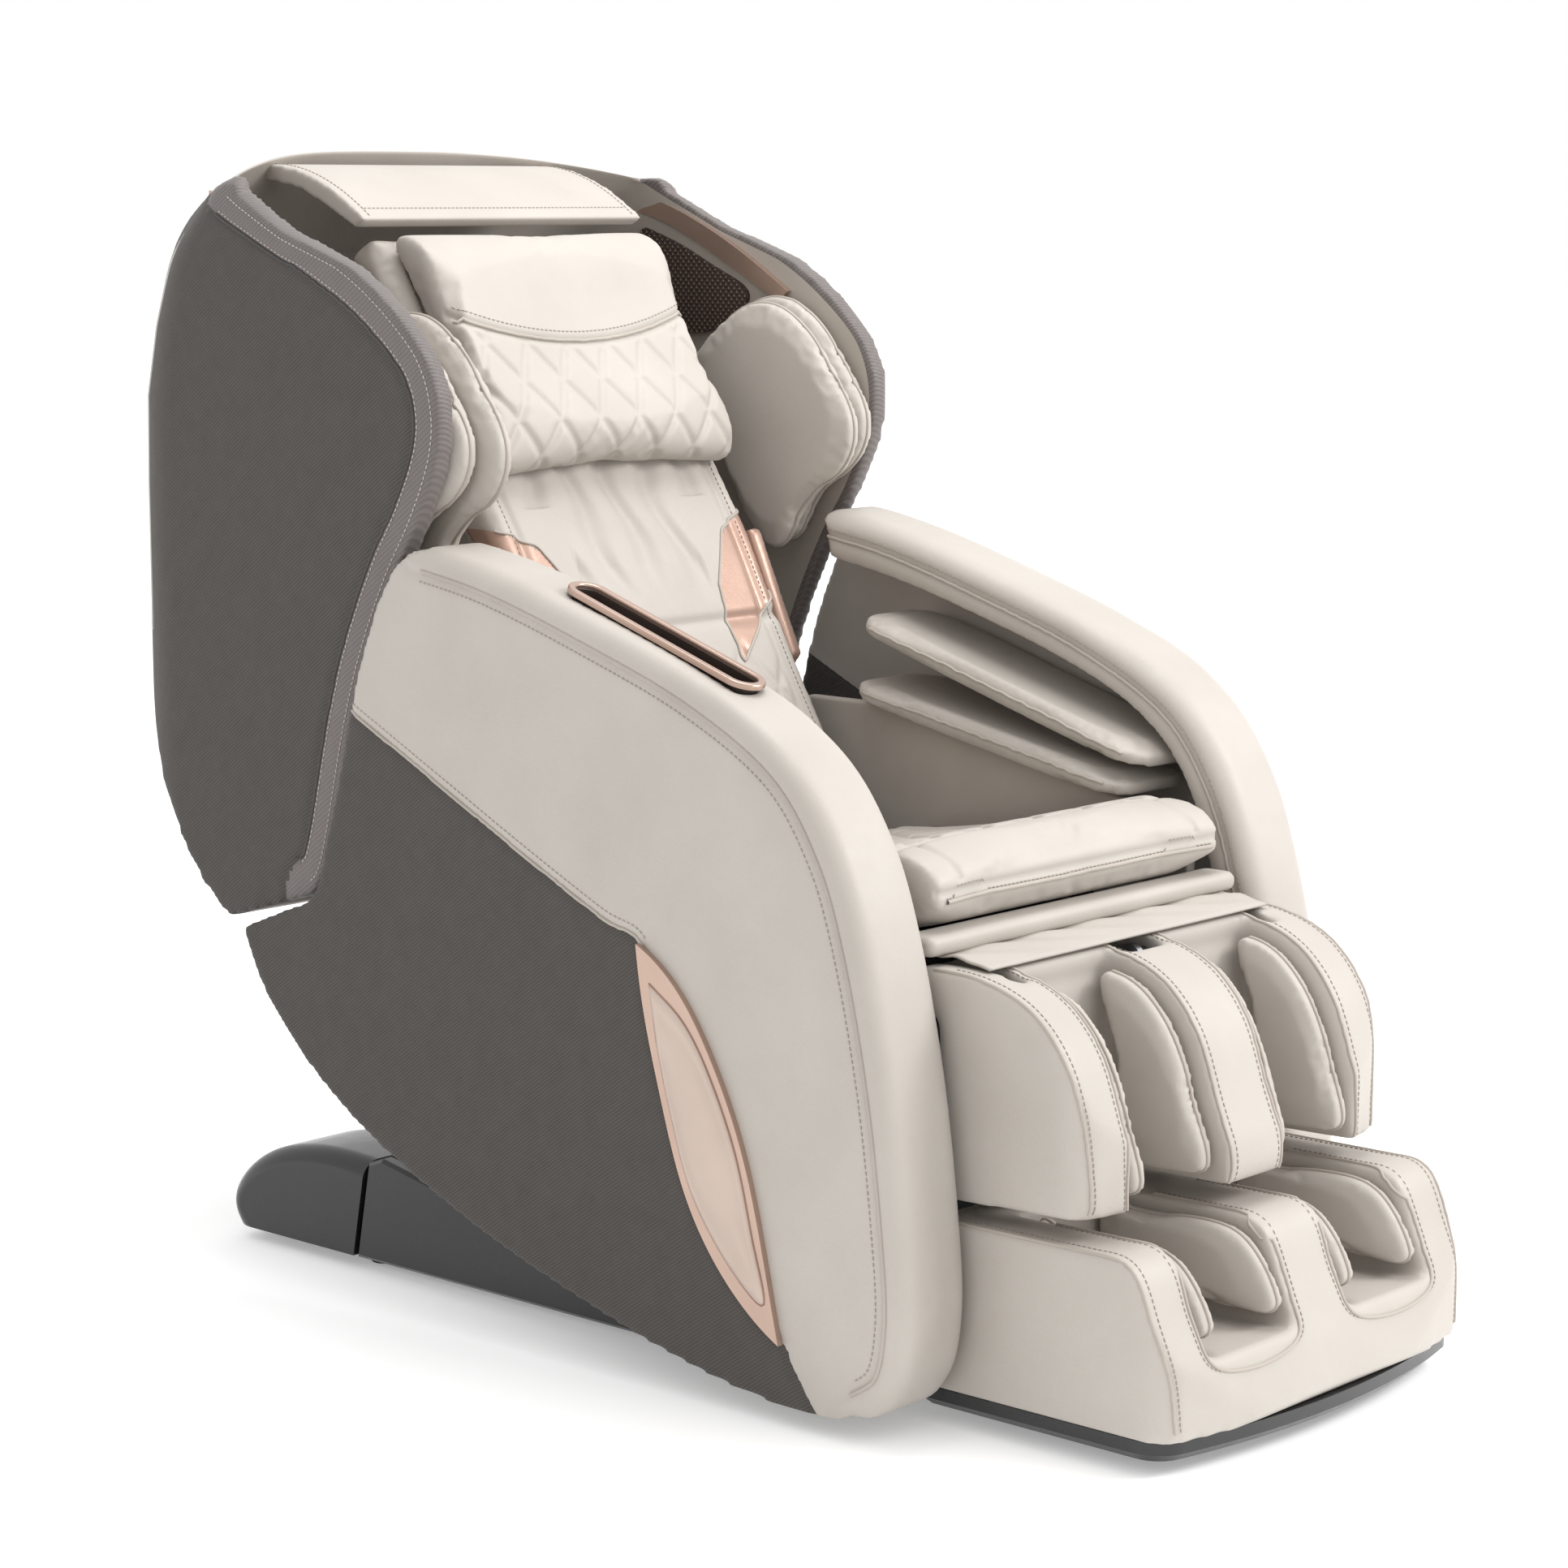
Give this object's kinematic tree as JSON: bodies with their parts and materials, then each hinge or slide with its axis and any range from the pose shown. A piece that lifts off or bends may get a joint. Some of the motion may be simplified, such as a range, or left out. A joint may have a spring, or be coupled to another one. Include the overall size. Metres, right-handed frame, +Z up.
{
  "type": "massage chair",
  "caption": "Hooded zero-gravity massage chair with a reclining back, hollow arms with air pads, and a swinging legrest with a sliding footrest",
  "frame": {"origin": "under the middle of the whole chair, on the floor", "axes": "+Z up; the sitter faces -Y, so +X is on the sitter's left"},
  "size_m": [0.774, 1.4946, 1.2838],
  "materials": {
    "frame_paint": "black powder coat",
    "steel": "ground steel",
    "aluminium": "cast, bead blasted",
    "rubber": "moulded, matt",
    "taupe_fabric": "fine diagonal twill over a moulded panel",
    "beige_leather": "fine grain, padded, with stitching and piping",
    "rose_leather": "metallic rose",
    "rose_gold": "satin rose gold",
    "brown_plastic": "dark brown, perforated on the speaker grilles",
    "black_plastic": "fine texture, satin"
  },
  "bodies": {
    "base": {"base_frame": "frame_paint", "rubber_feet": "rubber", "base_rear_pod_left": "black_plastic", "base_rear_pod_right": "black_plastic", "base_side_skirt_left": "black_plastic", "base_side_skirt_right": "black_plastic", "control_box": "black_plastic", "power_inlet": "black_plastic", "wheel_axle": "steel", "tilt_actuator": "black_plastic"},
    "power_switch": {"power_rocker": "black_plastic"},
    "wheel_left": {"transport_wheel_left": "rubber"},
    "wheel_right": {"transport_wheel_right": "rubber"},
    "tilt_drive": {"tilt_rod": "steel"},
    "seat": {"seat_frame": "frame_paint", "tilt_shaft": "steel", "seat_pan": "black_plastic", "seat_cushion": "beige_leather", "front_bolster": "beige_leather", "arm_inner_wall_left": "beige_leather", "arm_inner_wall_right": "beige_leather", "arm_panel_left": "taupe_fabric", "arm_panel_right": "taupe_fabric", "arm_cap_left": "beige_leather", "arm_cap_right": "beige_leather", "arm_air_pad_upper_left": "beige_leather", "arm_air_pad_upper_right": "beige_leather", "arm_air_pad_lower_left": "beige_leather", "arm_air_pad_lower_right": "beige_leather", "arm_leaf_trim_left": "rose_gold", "arm_leaf_trim_right": "rose_gold", "pocket_liner": "brown_plastic", "pocket_bezel": "rose_gold", "recline_actuator": "black_plastic", "leg_actuator": "black_plastic"},
    "recline_drive": {"recline_rod": "steel"},
    "leg_drive": {"leg_rod": "steel"},
    "back": {"hood_shell": "taupe_fabric", "back_frame": "frame_paint", "recline_shaft": "steel", "carriage_rails": "steel", "back_cushion": "beige_leather", "head_flap": "beige_leather", "back_side_inserts": "rose_leather", "shoulder_air_pads_inner": "beige_leather", "shoulder_air_pads_outer": "beige_leather", "speaker_grilles": "brown_plastic", "speaker_bezels": "rose_gold"},
    "pillow": {"head_pillow": "beige_leather"},
    "carriage": {"carriage_chassis": "aluminium", "massage_motors": "black_plastic", "massage_arms": "aluminium", "massage_rollers": "rubber"},
    "leg": {"calf_rest": "beige_leather", "leg_shaft": "steel", "calf_air_pads": "beige_leather"},
    "foot": {"foot_rest": "beige_leather", "foot_base_cover": "black_plastic", "foot_air_pads": "beige_leather", "foot_slide_bars": "steel"}
  },
  "joints": [
    {"name": "seat_tilt", "type": "hinge", "parent": "base", "child": "seat", "pos_m": [0, -0.0293, 0.22], "axis": [-1, 0, 0], "range_deg": [0, 8]},
    {"name": "back_recline", "type": "hinge", "parent": "seat", "child": "back", "pos_m": [0, 0.1407, 0.425], "axis": [-1, 0, 0], "range_deg": [0, 30]},
    {"name": "legrest_lift", "type": "hinge", "parent": "seat", "child": "leg", "pos_m": [0, -0.4643, 0.44], "axis": [-1, 0, 0], "range_deg": [0, 80]},
    {"name": "foot_extension", "type": "slide", "parent": "leg", "child": "foot", "axis": [0, 0, -1], "range_m": [0, 0.11]},
    {"name": "carriage_travel", "type": "slide", "parent": "back", "child": "carriage", "axis": [0, 0.4891, 0.8722], "range_m": [0, 0.33]},
    {"name": "pillow_flip", "type": "hinge", "parent": "back", "child": "pillow", "pos_m": [0, 0.3987, 1.19], "axis": [-1, 0, 0], "range_deg": [0, 100]},
    {"name": "tilt_drive_stroke", "type": "slide", "parent": "base", "child": "tilt_drive", "axis": [0, -1, 0], "range_m": [0, 0.0157]},
    {"name": "recline_drive_stroke", "type": "slide", "parent": "seat", "child": "recline_drive", "axis": [0, -1, 0], "range_m": [0, 0.0667]},
    {"name": "leg_drive_stroke", "type": "slide", "parent": "seat", "child": "leg_drive", "axis": [0, -1, 0], "range_m": [0, 0.1127]},
    {"name": "switch_rock", "type": "hinge", "parent": "base", "child": "power_switch", "pos_m": [0.06, 0.4167, 0.092], "axis": [1, 0, 0], "range_deg": [-8, 8]},
    {"name": "wheel_left_spin", "type": "hinge", "parent": "base", "child": "wheel_left", "pos_m": [-0.191, 0.5757, 0.032], "axis": [1, 0, 0], "continuous": true},
    {"name": "wheel_right_spin", "type": "hinge", "parent": "base", "child": "wheel_right", "pos_m": [0.191, 0.5757, 0.032], "axis": [1, 0, 0], "continuous": true}
  ],
  "couplings": [
    {"joint": "tilt_drive_stroke", "follows": "seat_tilt", "m_per_rad": 0.1096},
    {"joint": "recline_drive_stroke", "follows": "back_recline", "m_per_rad": 0.1266},
    {"joint": "leg_drive_stroke", "follows": "legrest_lift", "m_per_rad": 0.0806}
  ]
}
